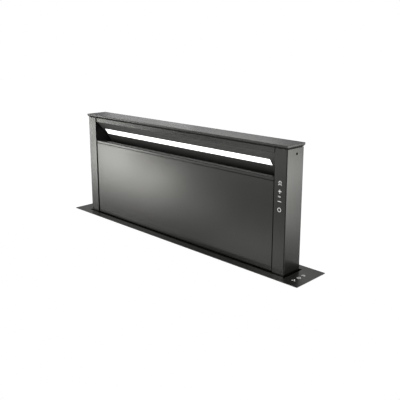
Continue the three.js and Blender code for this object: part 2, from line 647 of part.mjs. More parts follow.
const control = new THREE.Group();
control.name = 'control_group';
chassis.add(control);
place(control, 'control_box', cut(
  box(-400, -230, -90, -WY - GAP, -380, -260),
  box(-398.5, -231.5, -95, -WY - GAP - 1.5, -378.5, -261.5),
  rodZ(4.5, -384, -376, -260, -70, 20)), polymer());
place(control, 'control_box_lid', box(-400, -230, -92, -90.3, -380, -260), polymer());
place(control, 'control_board', box(-392, -238, -60.6, -59, -372, -268), board());
place(control, 'cable_gland', cut(
  join(rodZ(10, -390, -380.4, -260, -70, 6), rodZ(8, -398, -386, -260, -70, 24)),
  rodZ(4.5, -400, -378, -260, -70, 20)), polymer());

export default group;
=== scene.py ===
import math

import bmesh
import bpy
from mathutils import Matrix, Vector


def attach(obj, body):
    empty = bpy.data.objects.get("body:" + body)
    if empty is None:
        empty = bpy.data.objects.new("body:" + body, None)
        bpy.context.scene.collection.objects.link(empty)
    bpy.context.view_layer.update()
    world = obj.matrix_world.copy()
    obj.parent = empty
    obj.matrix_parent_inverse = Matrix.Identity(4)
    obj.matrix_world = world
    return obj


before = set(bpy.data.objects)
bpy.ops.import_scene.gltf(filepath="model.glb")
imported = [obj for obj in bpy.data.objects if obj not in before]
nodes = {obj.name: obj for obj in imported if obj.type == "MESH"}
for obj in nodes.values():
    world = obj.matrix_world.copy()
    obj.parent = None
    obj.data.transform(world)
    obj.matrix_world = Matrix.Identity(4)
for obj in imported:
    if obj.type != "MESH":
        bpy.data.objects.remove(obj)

scene = bpy.context.scene


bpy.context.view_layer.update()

# ------------------------------------------------------------------- camera

AZ, PITCH = math.radians(44.789), math.radians(12.517)
cam_data = bpy.data.cameras.new("camera")
cam_data.sensor_width = 36.0
cam_data.lens = 52.476
cam_data.shift_y = -0.09
cam_data.clip_start, cam_data.clip_end = 0.05, 60.0
cam = bpy.data.objects.new("camera", cam_data)
scene.collection.objects.link(cam)
scene.camera = cam
look = Vector((-math.sin(AZ) * math.cos(PITCH), math.cos(AZ) * math.cos(PITCH), -math.sin(PITCH)))
cam.location = (1.16827, -1.09741, 0.5680)
cam.rotation_mode = "QUATERNION"
cam.rotation_quaternion = look.to_track_quat("-Z", "Y")

# ---------------------------------------------------------------- materials


class Mat:
    """A node material under construction."""

    def __init__(self, name):
        self.m = bpy.data.materials.new(name)
        self.m.use_nodes = True
        self.nt = self.m.node_tree
        self.nt.nodes.clear()
        self.out = self.add("ShaderNodeOutputMaterial")

    def add(self, kind, **props):
        n = self.nt.nodes.new(kind)
        for k, v in props.items():
            setattr(n, k, v)
        return n

    def link(self, a, b):
        self.nt.links.new(a, b)

    def coords(self, scale=(1, 1, 1), turn=(0, 0, 0)):
        tc = self.add("ShaderNodeTexCoord")
        mp = self.add("ShaderNodeMapping")
        mp.inputs["Scale"].default_value = scale
        mp.inputs["Rotation"].default_value = turn
        self.link(tc.outputs["Object"], mp.inputs["Vector"])
        return mp.outputs["Vector"]

    def noise(self, vector, scale, detail=3.0, rough=0.5):
        n = self.add("ShaderNodeTexNoise")
        n.inputs["Scale"].default_value = scale
        n.inputs["Detail"].default_value = detail
        n.inputs["Roughness"].default_value = rough
        self.link(vector, n.inputs["Vector"])
        return n.outputs["Fac"]

    def spread(self, value, lo, hi, a=0.0, b=1.0):
        n = self.add("ShaderNodeMapRange")
        n.inputs["From Min"].default_value = a
        n.inputs["From Max"].default_value = b
        n.inputs["To Min"].default_value = lo
        n.inputs["To Max"].default_value = hi
        self.link(value, n.inputs["Value"])
        return n.outputs["Result"]

    def calc(self, op, a, b):
        n = self.add("ShaderNodeMath", operation=op)
        for i, v in enumerate((a, b)):
            if isinstance(v, (int, float)):
                n.inputs[i].default_value = v
            else:
                self.link(v, n.inputs[i])
        return n.outputs[0]

    def ramp(self, value, stops):
        n = self.add("ShaderNodeValToRGB")
        e = n.color_ramp.elements
        while len(e) > 1:
            e.remove(e[-1])
        e[0].position, e[0].color = stops[0][0], (*stops[0][1], 1)
        for p, c in stops[1:]:
            s = e.new(p)
            s.color = (*c, 1)
        self.link(value, n.inputs["Fac"])
        return n.outputs["Color"]

    def bump(self, height, distance, strength=1.0):
        n = self.add("ShaderNodeBump")
        n.inputs["Distance"].default_value = distance
        n.inputs["Strength"].default_value = strength
        self.link(height, n.inputs["Height"])
        return n.outputs["Normal"]

    def principled(self, colour=None, rough=None, normal=None, metallic=0.0, **fixed):
        b = self.add("ShaderNodeBsdfPrincipled")
        b.inputs["Metallic"].default_value = metallic
        if colour is not None:
            if isinstance(colour, tuple):
                b.inputs["Base Color"].default_value = (*colour, 1)
            else:
                self.link(colour, b.inputs["Base Color"])
        if rough is not None:
            if isinstance(rough, (int, float)):
                b.inputs["Roughness"].default_value = rough
            else:
                self.link(rough, b.inputs["Roughness"])
        if normal is not None:
            self.link(normal, b.inputs["Normal"])
        for k, v in fixed.items():
            b.inputs[k.replace("_", " ")].default_value = v
        self.link(b.outputs["BSDF"], self.out.inputs["Surface"])
        return b


def shade(c, k):
    return tuple(min(1.0, v * k) for v in c)


def grain_scale(along, fine, long=4.0):
    return tuple(long if a == along else fine for a in "XYZ")


def coated(name, colour, along, rough=0.21, metallic=0.92, depth=1.2e-6, vary=0.07, darken=None):
    """Satin dark coating over a fine brushed grain that runs along one axis.

    darken = (z_low, z_high, factor) scales the colour from 1 at z_high down to factor at z_low and below: painted
    shade, darker towards the bottom.
    """
    m = Mat(name)
    grain = m.noise(m.coords(grain_scale(along, 2600.0, 30.0)), 1.0, 3.0, 0.55)
    streak = m.noise(m.coords(grain_scale(along, 420.0, 5.0)), 1.0, 2.0, 0.5)
    cloud = m.noise(m.coords((6.0, 6.0, 6.0)), 1.0, 3.0, 0.5)
    speck = m.noise(m.coords((1300.0, 1300.0, 1300.0)), 1.0, 2.0, 0.5)
    mix = m.calc("ADD", m.calc("MULTIPLY", grain, 0.40),
                 m.calc("ADD", m.calc("MULTIPLY", speck, 0.30),
                        m.calc("ADD", m.calc("MULTIPLY", streak, 0.12), m.calc("MULTIPLY", cloud, 0.18))))
    col = m.ramp(mix, [(0.30, shade(colour, 1 - vary)), (0.5, colour), (0.70, shade(colour, 1 + vary))])
    # painted shade: the colour grows darker towards the bottom, between z_high and z_low
    if darken:
        tc = m.add("ShaderNodeTexCoord")
        xyz = m.add("ShaderNodeSeparateXYZ")
        m.link(tc.outputs["Object"], xyz.inputs["Vector"])
        k = m.spread(xyz.outputs["Z"], darken[2], 1.0, darken[0], darken[1])
        painted_shade_node = m.add("ShaderNodeMixRGB", blend_type="MULTIPLY")
        painted_shade_node.inputs["Fac"].default_value = 1.0
        m.link(col, painted_shade_node.inputs["Color1"])
        m.link(k, painted_shade_node.inputs["Color2"])
        col = painted_shade_node.outputs["Color"]
    r = m.calc("ADD", m.spread(speck, rough - 0.02, rough + 0.03, 0.25, 0.75),
               m.spread(cloud, -0.010, 0.012, 0.3, 0.7))
    height = m.calc("ADD", m.calc("MULTIPLY", grain, 0.7), m.calc("MULTIPLY", speck, 0.5))
    m.principled(col, r, m.bump(height, depth, 0.5), metallic, Specular_IOR_Level=0.45)
    return m.m


def galvanised(name, colour, rough=0.42, cell=58.0):
    """Zinc-coated sheet with soft spangles and rolling marks."""
    m = Mat(name)
    wobble = m.noise(m.coords((20.0, 20.0, 20.0)), 1.0, 2.0)
    v = m.add("ShaderNodeTexVoronoi")
    v.inputs["Scale"].default_value = cell
    mixv = m.add("ShaderNodeMixRGB", blend_type="ADD")
    mixv.inputs["Fac"].default_value = 0.012
    tc = m.add("ShaderNodeTexCoord")
    m.link(tc.outputs["Object"], mixv.inputs["Color1"])
    m.link(wobble, mixv.inputs["Color2"])
    m.link(mixv.outputs["Color"], v.inputs["Vector"])
    bw = m.add("ShaderNodeRGBToBW")
    m.link(v.outputs["Color"], bw.inputs["Color"])
    fine = m.noise(m.coords((500.0, 500.0, 500.0)), 1.0, 3.0, 0.6)
    dirt = m.noise(m.coords((5.0, 5.0, 5.0)), 1.0, 4.0, 0.55)
    mix = m.calc("ADD", m.calc("MULTIPLY", bw.outputs["Val"], 0.5),
                 m.calc("ADD", m.calc("MULTIPLY", fine, 0.15), m.calc("MULTIPLY", dirt, 0.35)))
    col = m.ramp(mix, [(0.25, shade(colour, 0.82)), (0.5, colour), (0.78, shade(colour, 1.14))])
    r = m.calc("ADD", m.spread(bw.outputs["Val"], rough - 0.07, rough + 0.08, 0.1, 0.9),
               m.spread(dirt, -0.03, 0.05, 0.3, 0.7))
    m.principled(col, r, m.bump(fine, 1e-5, 0.5), 0.92)
    return m.m


def machined(name, colour, along="X", rough=0.3):
    m = Mat(name)
    line = m.noise(m.coords(grain_scale(along, 2200.0, 40.0)), 1.0, 3.0, 0.6)
    stain = m.noise(m.coords((30.0, 30.0, 30.0)), 1.0, 3.0, 0.5)
    mix = m.calc("ADD", m.calc("MULTIPLY", line, 0.6), m.calc("MULTIPLY", stain, 0.4))
    col = m.ramp(mix, [(0.3, shade(colour, 0.8)), (0.5, colour), (0.75, shade(colour, 1.15))])
    m.principled(col, m.spread(line, rough - 0.06, rough + 0.1, 0.25, 0.75), m.bump(line, 2e-5, 0.5), 1.0)
    return m.m


def moulded(name, colour, rough=0.55, grainy=1400.0, depth=3e-5, **fixed):
    m = Mat(name)
    tex = m.noise(m.coords((grainy,) * 3), 1.0, 3.0, 0.6)
    cloud = m.noise(m.coords((18.0,) * 3), 1.0, 3.0, 0.5)
    mix = m.calc("ADD", m.calc("MULTIPLY", tex, 0.4), m.calc("MULTIPLY", cloud, 0.6))
    col = m.ramp(mix, [(0.3, shade(colour, 0.84)), (0.5, colour), (0.72, shade(colour, 1.16))])
    m.principled(col, m.spread(tex, rough - 0.05, rough + 0.07, 0.3, 0.7), m.bump(tex, depth, 0.6), 0.0, **fixed)
    return m.m


def circuit(name, colour, copper):
    m = Mat(name)
    v = m.add("ShaderNodeTexVoronoi", feature="DISTANCE_TO_EDGE", distance="MANHATTAN")
    v.inputs["Scale"].default_value = 240.0
    tc = m.add("ShaderNodeTexCoord")
    m.link(tc.outputs["Object"], v.inputs["Vector"])
    track = m.spread(v.outputs["Distance"], 1.0, 0.0, 0.02, 0.08)
    col = m.ramp(track, [(0.0, colour), (0.6, shade(colour, 1.1)), (1.0, copper)])
    m.principled(col, m.spread(track, 0.35, 0.5), m.bump(track, 3e-5, 0.6), 0.1)
    return m.m


def lit(name, colour, strength, spots=0.0):
    """Surface that glows by itself: the opal diffuser lit from behind, a touch uneven as a row of emitters makes it,
    and the printed symbols, whose glow is painted light.
    """
    m = Mat(name)
    wave = m.noise(m.coords((60.0, 60.0, 60.0)), 1.0, 2.0, 0.5)
    col = m.ramp(wave, [(0.3, shade(colour, 0.97)), (0.7, colour)])
    b = m.principled(col, 0.45, None, 0.0, Emission_Strength=strength)
    m.link(col, b.inputs["Emission Color"])
    return m.m


DARK = (0.165, 0.165, 0.156)
mat_skin_x = coated("coated_steel_grain_x", DARK, "X")
mat_skin_z = coated("coated_steel_grain_z", DARK, "Z", depth=0.7e-6, vary=0.05)
mat_flange = coated("coated_steel_flange", (0.170, 0.170, 0.161), "X", rough=0.30, depth=1.5e-6, vary=0.10)
mat_cap = coated("coated_steel_cap", (0.170, 0.170, 0.161), "X", rough=0.25, depth=0.7e-6, vary=0.05)
# the scoop's colour carries painted shade near the bottom of the inlet, down to 0.08 of it below z 0.230
mat_scoop = coated("coated_steel_scoop", (0.380, 0.380, 0.362), "X", rough=0.58, darken=(0.230, 0.260, 0.08))
# near-black material that paints shade on the column's air channel walls and the door seam edges
mat_shade_black = moulded("painted_shade_black", (0.006, 0.006, 0.006), 0.75, Specular_IOR_Level=0.15)
mat_zinc = galvanised("zinc_sheet", (0.50, 0.51, 0.51))
mat_zinc_in = galvanised("zinc_sheet_inner", (0.44, 0.45, 0.45), 0.5, 40.0)
mat_steel = machined("machined_steel", (0.48, 0.49, 0.50))
mat_poly = moulded("glass_filled_polymer", (0.022, 0.023, 0.025), 0.5)
mat_acetal = moulded("natural_acetal", (0.74, 0.73, 0.68), 0.42, 300.0)
mat_rubber = moulded("black_rubber", (0.012, 0.012, 0.013), 0.8, 900.0)
mat_drive = moulded("painted_casting", (0.075, 0.08, 0.088), 0.42, 380.0, 6e-5)
mat_flap = moulded("flap_polymer", (0.60, 0.60, 0.58), 0.5, 700.0)
mat_alu = machined("lamp_aluminium", (0.72, 0.73, 0.74), "X", 0.35)
mat_filter = machined("filter_aluminium", (0.66, 0.66, 0.64), "Z", 0.46)
# dark aluminium that paints shade on the floor of each filter frame's recesses
mat_filter_recess_shade = machined("filter_aluminium_recess_shade", (0.16, 0.16, 0.155), "X", 0.45)
mat_pcb = circuit("circuit_board", (0.012, 0.085, 0.035), (0.03, 0.16, 0.07))
mat_ledpcb = moulded("lamp_board", (0.80, 0.80, 0.78), 0.4, 200.0)
mat_lamp = lit("light_diffuser_opal", (1.0, 1.0, 0.995), 1.8)
# the printed symbols glow a little by themselves: painted light, not a lamp
mat_symbol = lit("symbol_print_painted_glow", (0.82, 0.83, 0.82), 0.55)
mat_screw = machined("screw_zinc", (0.42, 0.43, 0.44), "Z", 0.32)
mat_screw_dark = machined("screw_black", (0.05, 0.05, 0.05), "Z", 0.35)

LOOK = {
    mat_skin_x: ["top_rail", "front_apron", "sill_rail", "front_panel", "rear_skin"],
    mat_skin_z: ["fascia_left", "fascia_right", "upright_left", "upright_right"],
    mat_flange: ["worktop_flange"],
    mat_cap: ["top_cap"],
    mat_scoop: ["inlet_scoop"],
    mat_zinc: ["housing_front", "housing_rear", "housing_left", "housing_right", "housing_floor",
               "fixing_bracket_left", "fixing_bracket_right", "blower_box", "blower_cover", "duct_collar"],
    mat_zinc_in: ["base_frame", "carriage_plate_left", "carriage_plate_right", "panel_liner"],
    mat_steel: ["cross_shaft", "pinion_left", "pinion_right", "rack_left", "rack_right",
                "guide_rail_left", "guide_rail_right", "flap_pin"],
    mat_poly: ["scroll_body", "scroll_lid", "inlet_ring", "impeller", "control_box", "control_box_lid", "cable_gland"],
    mat_acetal: ["glide_shoe_left", "glide_shoe_right"],
    mat_rubber: ["flange_gasket", "wiper_seal"],
    mat_drive: ["lift_gearbox", "lift_motor", "fan_motor"],
    mat_flap: ["damper_flap_front", "damper_flap_rear"],
    mat_alu: ["led_channel"],
    mat_filter: ["filter_left", "filter_middle", "filter_right"],
    mat_pcb: ["touch_board", "flange_touch_board", "control_board"],
    mat_ledpcb: ["led_board"],
    mat_lamp: ["light_diffuser"],
}
for mat, names in LOOK.items():
    for n in names:
        o = nodes[n]
        o.data.materials.clear()
        o.data.materials.append(mat)

# painted shade: the air channel's walls inside the column, on the uprights and the rear skin, are black where they
# stand in shade
for n, side in (("upright_left", -1), ("upright_right", 1)):
    o = nodes[n]
    o.data.materials.append(mat_shade_black)
    for p in o.data.polygons:
        if abs(p.center.x - side * 0.3566) < 2e-5 and abs(p.normal.x) > 0.9:
            p.material_index = 1
# the rear skin's inner face in the channel gets the same painted shade
o = nodes["rear_skin"]
o.data.materials.append(mat_shade_black)
for p in o.data.polygons:
    if p.normal.y < -0.9 and p.center.y < 0.0305:
        p.material_index = 1


# painted shade too: the fascia edges that face each other across the door's seams are black, where the seams are in
# shade
for n, side in (("fascia_left", 1), ("fascia_right", -1)):
    o = nodes[n]
    o.data.materials.append(mat_shade_black)
    for p in o.data.polygons:
        if p.normal.x * side > 0.9 and abs(abs(p.center.x) - 0.3561) < 2e-4:
            p.material_index = 1


def soften(name, width, segments=2, angle=35.0):
    """Rolled or broken edges on a CAD node, as modifiers. Faces stay flat-shaded."""
    o = nodes[name]
    w = o.modifiers.new("weld", "WELD")
    w.merge_threshold = 1e-5
    b = o.modifiers.new("edge", "BEVEL")
    b.width = width
    b.segments = segments
    b.limit_method = "ANGLE"
    b.angle_limit = math.radians(angle)
    b.use_clamp_overlap = True
    for p in o.data.polygons:
        p.use_smooth = False


for n, w in {
    "top_cap": 0.0004, "top_rail": 0.0003, "front_panel": 0.0004, "sill_rail": 0.0002,
    "fascia_left": 0.0004, "fascia_right": 0.0004, "worktop_flange": 0.0003,
    "upright_left": 0.0002, "upright_right": 0.0002, "front_apron": 0.0003,
    "blower_box": 0.0005, "blower_cover": 0.0004, "control_box": 0.0015, "control_box_lid": 0.0006,
    "housing_front": 0.0004, "housing_rear": 0.0004, "lift_gearbox": 0.001,
}.items():
    soften(n, w)


def smooth(name, angle=40.0):
    """Round faces shade round, edges stay crisp."""
    o = nodes[name]
    w = o.modifiers.new("weld", "WELD")
    w.merge_threshold = 2e-6
    for p in o.data.polygons:
        p.use_smooth = True
    s = o.modifiers.new("split", "EDGE_SPLIT")
    s.split_angle = math.radians(angle)


for n in ("inlet_scoop", "duct_collar", "inlet_ring", "fan_motor", "scroll_body", "scroll_lid", "cross_shaft",
          "lift_motor", "cable_gland", "impeller", "flap_pin", "damper_flap_front", "damper_flap_rear",
          "pinion_left", "pinion_right"):
    smooth(n, 30.0)

# ------------------------------------------------------------- mesh helpers


def mesh_object(name, bm, mats, body, smooth_angle=None):
    me = bpy.data.meshes.new(name)
    bm.to_mesh(me)
    bm.free()
    ob = bpy.data.objects.new(name, me)
    scene.collection.objects.link(ob)
    for m in mats:
        me.materials.append(m)
    if smooth_angle is not None:
        for p in me.polygons:
            p.use_smooth = True
        s = ob.modifiers.new("split", "EDGE_SPLIT")
        s.split_angle = math.radians(smooth_angle)
    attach(ob, body)
    return ob


def lathe(bm, profile, place, n=20, material=0):
    """Turns a profile of (r, h) about the local Z of a placement matrix. Ends on the axis."""
    rings = []
    for r, h in profile:
        if r < 1e-9:
            rings.append([bm.verts.new(place @ Vector((0, 0, h)))])
        else:
            rings.append([bm.verts.new(place @ Vector((r * math.cos(2 * math.pi * i / n),
                                                       r * math.sin(2 * math.pi * i / n), h))) for i in range(n)])
    for a, b in zip(rings, rings[1:]):
        for i in range(n):
            j = (i + 1) % n
            if len(a) == 1:
                f = bm.faces.new((a[0], b[i], b[j]))
            elif len(b) == 1:
                f = bm.faces.new((a[i], b[0], a[j]))
            else:
                f = bm.faces.new((a[i], b[i], b[j], a[j]))
            f.material_index = material


def slab(bm, points, place, height, material=0, inset=0.0):
    """Raises an outline of (x, y) points by height in a placement's frame, with a small top inset."""
    n = len(points)
    cx = sum(p[0] for p in points) / n
    cy = sum(p[1] for p in points) / n
    low = [bm.verts.new(place @ Vector((x, y, 0))) for x, y in points]
    k = 1.0 - inset
    top = [bm.verts.new(place @ Vector((cx + (x - cx) * k, cy + (y - cy) * k, height))) for x, y in points]
    for i in range(n):
        j = (i + 1) % n
        bm.faces.new((low[i], low[j], top[j], top[i])).material_index = material
    bm.faces.new(top).material_index = material
    bm.faces.new(list(reversed(low))).material_index = material


def facing(point, normal, up):
    """Placement with local Z along normal and local Y along up."""
    z = Vector(normal).normalized()
    y = Vector(up).normalized()
    x = y.cross(z)
    m = Matrix((x, y, z)).transposed().to_4x4()
    m.translation = Vector(point)
    return m


def stroke(bm, path, width, place, height, closed=False, material=0):
    """A printed line of constant width along a path of (x, y) points, mitred at its corners."""
    pts = [Vector((p[0], p[1])) for p in path]
    n = len(pts)
    left, right = [], []
    for i, p in enumerate(pts):
        a = pts[i - 1] if (i > 0 or closed) else None
        b = pts[(i + 1) % n] if (i < n - 1 or closed) else None
        d0 = (p - a).normalized() if a is not None else (b - p).normalized()
        d1 = (b - p).normalized() if b is not None else d0
        t = (d0 + d1).normalized()
        nrm = Vector((-t.y, t.x))
        k = (width / 2) / max(0.35, nrm.dot(Vector((-d1.y, d1.x))))
        left.append(p + nrm * k)
        right.append(p - nrm * k)
    rows = []
    for l, r in zip(left, right):
        rows.append((bm.verts.new(place @ Vector((l.x, l.y, 0))), bm.verts.new(place @ Vector((l.x, l.y, height))),
                     bm.verts.new(place @ Vector((r.x, r.y, height))), bm.verts.new(place @ Vector((r.x, r.y, 0)))))
    pairs = list(zip(rows, rows[1:])) + ([(rows[-1], rows[0])] if closed else [])
    for a, b in pairs:
        for k in range(4):
            f = bm.faces.new((a[k], a[(k + 1) % 4], b[(k + 1) % 4], b[k]))
            f.material_index = material
    if not closed:
        bm.faces.new(rows[0][::-1]).material_index = material
        bm.faces.new(rows[-1]).material_index = material


def circle(r, n=28, cx=0.0, cy=0.0, a0=0.0, a1=360.0):
    full = abs(a1 - a0) >= 359.9
    k = n if full else n + 1
    return [(cx + r * math.cos(math.radians(a0 + (a1 - a0) * i / n)),
             cy + r * math.sin(math.radians(a0 + (a1 - a0) * i / n))) for i in range(k)]


# ---------------------------------------------------------- printed symbols

W = 0.0011
bm = bmesh.new()
FX, FY = 0.3728, -0.03130


def on_fascia(z):
    return facing((FX, FY, z), (0, -1, 0), (0, 0, 1))


def chevron(w, h):
    return [(-w / 2, -h / 2), (0, h / 2), (w / 2, -h / 2)]


LIFT = 0.00006
p = on_fascia(0.2297)
for dy in (0.0030, -0.0030):
    stroke(bm, [(x, y + dy) for x, y in chevron(0.0100, 0.0044)], W, p, LIFT)
p = on_fascia(0.2098)
stroke(bm, [(-0.0052, 0), (0.0052, 0)], W * 1.15, p, LIFT)
stroke(bm, [(0, -0.0052), (0, 0.0052)], W * 1.15, p, LIFT * 1.1)
p = on_fascia(0.1970)
for dy in (0.0011, -0.0011):
    stroke(bm, [(-0.0044, dy), (0.0030, dy)], 0.0006, p, LIFT)
p = on_fascia(0.1851)
stroke(bm, [(-0.0052, 0), (0.0052, 0)], W * 1.15, p, LIFT)
p = on_fascia(0.1648)
stroke(bm, circle(0.0046), W, p, LIFT, closed=True)
bmesh.ops.recalc_face_normals(bm, faces=bm.faces)
mesh_object("fascia_symbols", bm, [mat_symbol], "column")

bm = bmesh.new()
TOPZ = 0.00230


def on_flange(x, y):
    return facing((x, y, TOPZ), (0, 0, 1), (0, 1, 0))


p = on_flange(0.4222, 0.0078)
for dy in (0.0018, -0.0018):
    stroke(bm, [(x, y + dy) for x, y in chevron(0.0092, 0.0040)], W, p, LIFT)
p = on_flange(0.4220, -0.0115)
stroke(bm, circle(0.0044), W, p, LIFT, closed=True)
slab(bm, circle(0.0012, 14), p, LIFT)
p = on_flange(0.4212, -0.0310)
for k in range(3):
    a = math.radians(90 + 120 * k)
    ca, sa = math.cos(a), math.sin(a)
    petal = [(0.0006, 0.0), (0.0022, 0.0016), (0.0046, 0.0016), (0.0053, 0.0), (0.0046, -0.0012), (0.0022, -0.0008)]
    slab(bm, [(x * ca - y * sa, x * sa + y * ca) for x, y in petal], p, LIFT)
bmesh.ops.recalc_face_normals(bm, faces=bm.faces)
mesh_object("flange_symbols", bm, [mat_symbol], "chassis")

# --------------------------------------------------------------- fastenings


def ring_points(place, radius, height, n, hexed=False):
    pts = []
    for i in range(n):
        t = 2 * math.pi * i / n
        r = radius / math.cos((t + math.pi / 6) % (math.pi / 3) - math.pi / 6) if hexed else radius
        pts.append(place @ Vector((r * math.cos(t), r * math.sin(t), height)))
    return pts


def skin_rings(bm, rings, close, material=0):
    """Joins rings of points into a solid: closed at both ends, or the last ring joined to the first."""
    made = [[bm.verts.new(p) for p in ring] for ring in rings]
    n = len(made[0])
    for a, b in zip(made, made[1:] if close else made[1:] + made[:1]):
        for i in range(n):
            j = (i + 1) % n
            bm.faces.new((a[i], a[j], b[j], b[i])).material_index = material
    if close:
        bm.faces.new(made[-1]).material_index = material
        bm.faces.new(made[0][::-1]).material_index = material


def screw(bm, point, normal, r=0.0030, h=0.0016, up=(0, 0, 1), n=24):
    """Low round head with a hexagon socket."""
    place = facing(point, normal, up)
    rings = [ring_points(place, k * r, z * h, n) for k, z in
             ((1.0, -0.05), (1.0, 0.35), (0.94, 0.68), (0.80, 0.92), (0.62, 1.0))]
    rings.append(ring_points(place, r * 0.40, h, n, True))
    rings.append(ring_points(place, r * 0.38, h * 0.30, n, True))
    skin_rings(bm, rings, True)


def rivet(bm, point, normal, r=0.0028, h=0.0010, up=(0, 0, 1), n=20):
    """Blind rivet: domed head round a small mandrel hole."""
    place = facing(point, normal, up)
    rings = [ring_points(place, k * r, z * h, n) for k, z in
             ((1.0, -0.05), (1.0, 0.2), (0.88, 0.6), (0.66, 0.9), (0.42, 1.0), (0.34, 0.9), (0.30, 0.35))]
    skin_rings(bm, rings, True)


def bead(bm, point, normal, up, length, width, height, n=8):
    """Pressed stiffening bead with round ends, along the placement's X axis."""
    place = facing(point, normal, up)
    rings = []
    for a in (0, 18, 40, 62, 80):
        r = max(width / 2 * math.cos(math.radians(a)), 1e-4)
        z = height * math.sin(math.radians(a)) - (0.00005 if a == 0 else 0)
        half = length / 2 - width / 2
        pts = [(half + r * math.cos(math.radians(t)), r * math.sin(math.radians(t)))
               for t in [-90 + 180 * i / n for i in range(n + 1)]]
        pts += [(-half + r * math.cos(math.radians(t)), r * math.sin(math.radians(t)))
                for t in [90 + 180 * i / n for i in range(n + 1)]]
        rings.append([place @ Vector((x, y, z)) for x, y in pts])
    skin_rings(bm, rings, True)


def ring_bead(bm, point, normal, up, radius, width, height, n=72):
    """Pressed circular bead."""
    place = facing(point, normal, up)
    rings = []
    for k in range(7):
        a = math.pi * k / 6
        rings.append(ring_points(place, radius - width / 2 * math.cos(a), height * math.sin(a) - 0.00003, n))
    skin_rings(bm, rings, False)


def done(bm, name, mats, body, angle=35.0):
    bmesh.ops.recalc_face_normals(bm, faces=bm.faces)
    return mesh_object(name, bm, mats, body, angle)


# column: back skin, and the screw sunk in each side hole
bm = bmesh.new()
for sx in (-1, 1):
    for z in (0.285, 0.215, 0.145, 0.075, 0.012):
        screw(bm, (sx * 0.3745, 0.0313, z), (0, 1, 0), 0.0030, 0.0004)
    screw(bm, (sx * 0.3895, 0.0046, 0.2974), (sx, 0, 0), 0.0028, 0.0006)
for x in (-0.24, 0.0, 0.24):
    screw(bm, (x, 0.0313, 0.3035), (0, 1, 0), 0.0030, 0.0004)
done(bm, "column_screws", [mat_screw_dark], "column")

bm = bmesh.new()
for z in (0.262, 0.036):
    bead(bm, (0, 0.0313, z), (0, 1, 0), (0, 0, 1), 0.66, 0.012, 0.0004)
for x in (-0.165, 0.165):
    bead(bm, (x, 0.0313, 0.149), (0, 1, 0), (1, 0, 0), 0.18, 0.012, 0.0004)
done(bm, "rear_skin_beads", [mat_skin_x], "column")

# housing: stiffening beads, screws through the end returns, bracket rivets
bm = bmesh.new()
for z in (-0.10, -0.23, -0.36, -0.49, -0.62):
    bead(bm, (0, 0.0460, z), (0, 1, 0), (0, 0, 1), 0.76, 0.016, 0.0018)
for z in (-0.10, -0.20, -0.30):
    bead(bm, (0.10, -0.0460, z), (0, -1, 0), (0, 0, 1), 0.56, 0.016, 0.0018)
for z in (-0.44, -0.54, -0.64):
    for x in (-0.295, 0.295):
        bead(bm, (x, -0.0460, z), (0, -1, 0), (0, 0, 1), 0.19, 0.016, 0.0018)
for sx in (-1, 1):
    bead(bm, (sx * 0.4280, 0, -0.28), (sx, 0, 0), (0, 1, 0), 0.44, 0.016, 0.0014)
done(bm, "housing_beads", [mat_zinc], "chassis")

bm = bmesh.new()
for z in (-0.035, -0.165, -0.295, -0.425, -0.555, -0.685):
    for sx in (-1, 1):
        screw(bm, (sx * 0.4212, 0.0460, z), (0, 1, 0))
        screw(bm, (sx * 0.4212, -0.0460, z), (0, -1, 0))
for x in (-0.30, -0.10, 0.10, 0.30):
    screw(bm, (x, 0.0460, -0.685), (0, 1, 0))
    screw(bm, (x, 0.0460, -0.022), (0, 1, 0))
for sx in (-1, 1):
    for y in (-0.0262, 0.0262):
        for z in (-0.577, -0.600, -0.623):
            rivet(bm, (sx * 0.4298, y, z), (sx, 0, 0))
done(bm, "housing_screws", [mat_screw], "chassis")

# blower: cover screws, motor screws, pressed ring, collar screws, spigot bead
bm = bmesh.new()
ring_bead(bm, (-0.020, -0.2515, -0.566), (0, -1, 0), (0, 0, 1), 0.068, 0.009, 0.0016)
ring_bead(bm, (-0.020, -0.2515, -0.566), (0, -1, 0), (0, 0, 1), 0.102, 0.006, 0.0010, 96)
bead(bm, (-0.172, -0.148, -0.556), (-1, 0, 0), (0, 1, 0), 0.19, 0.012, 0.0014)
bead(bm, (0.172, -0.148, -0.640), (1, 0, 0), (0, 0, 1), 0.17, 0.010, 0.0012)
bead(bm, (0, -0.148, -0.412), (0, 0, 1), (0, 1, 0), 0.28, 0.014, 0.0014)
place = facing((0.2165, -0.142, -0.491), (1, 0, 0), (0, 0, 1))
rings = []
for k in range(7):
    a = math.pi * k / 6
    rings.append(ring_points(place, 0.07497 + 0.0016 * math.sin(a), -0.0028 * math.cos(a), 64))
skin_rings(bm, rings, False)
done(bm, "blower_beads", [mat_zinc], "chassis")

bm = bmesh.new()
for x in (-0.164, -0.082, 0.0, 0.082, 0.164):
    for z in (-0.6925, -0.4195):
        screw(bm, (x, -0.2515, z), (0, -1, 0))
for z in (-0.624, -0.556, -0.488):
    for sx in (-1, 1):
        screw(bm, (sx * 0.1645, -0.2515, z), (0, -1, 0))
for k in range(4):
    a = math.radians(45 + 90 * k)
    screw(bm, (-0.020 + 0.044 * math.cos(a), -0.2515, -0.566 + 0.044 * math.sin(a)), (0, -1, 0), 0.0042, 0.0028)
for y in (-0.2145, -0.142, -0.0695):
    for z in (-0.5625, -0.491, -0.4195):
        if (y, z) != (-0.142, -0.491):
            screw(bm, (0.1738, y, z), (1, 0, 0), 0.0028, 0.0015)
done(bm, "blower_screws", [mat_screw], "chassis")

# control box: lid screws, cooling ribs, two sockets
bm = bmesh.new()
for x in (-0.391, -0.239):
    for z in (-0.371, -0.269):
        screw(bm, (x, -0.0920, z), (0, -1, 0), 0.0032, 0.0018)
done(bm, "control_box_screws", [mat_screw], "chassis")

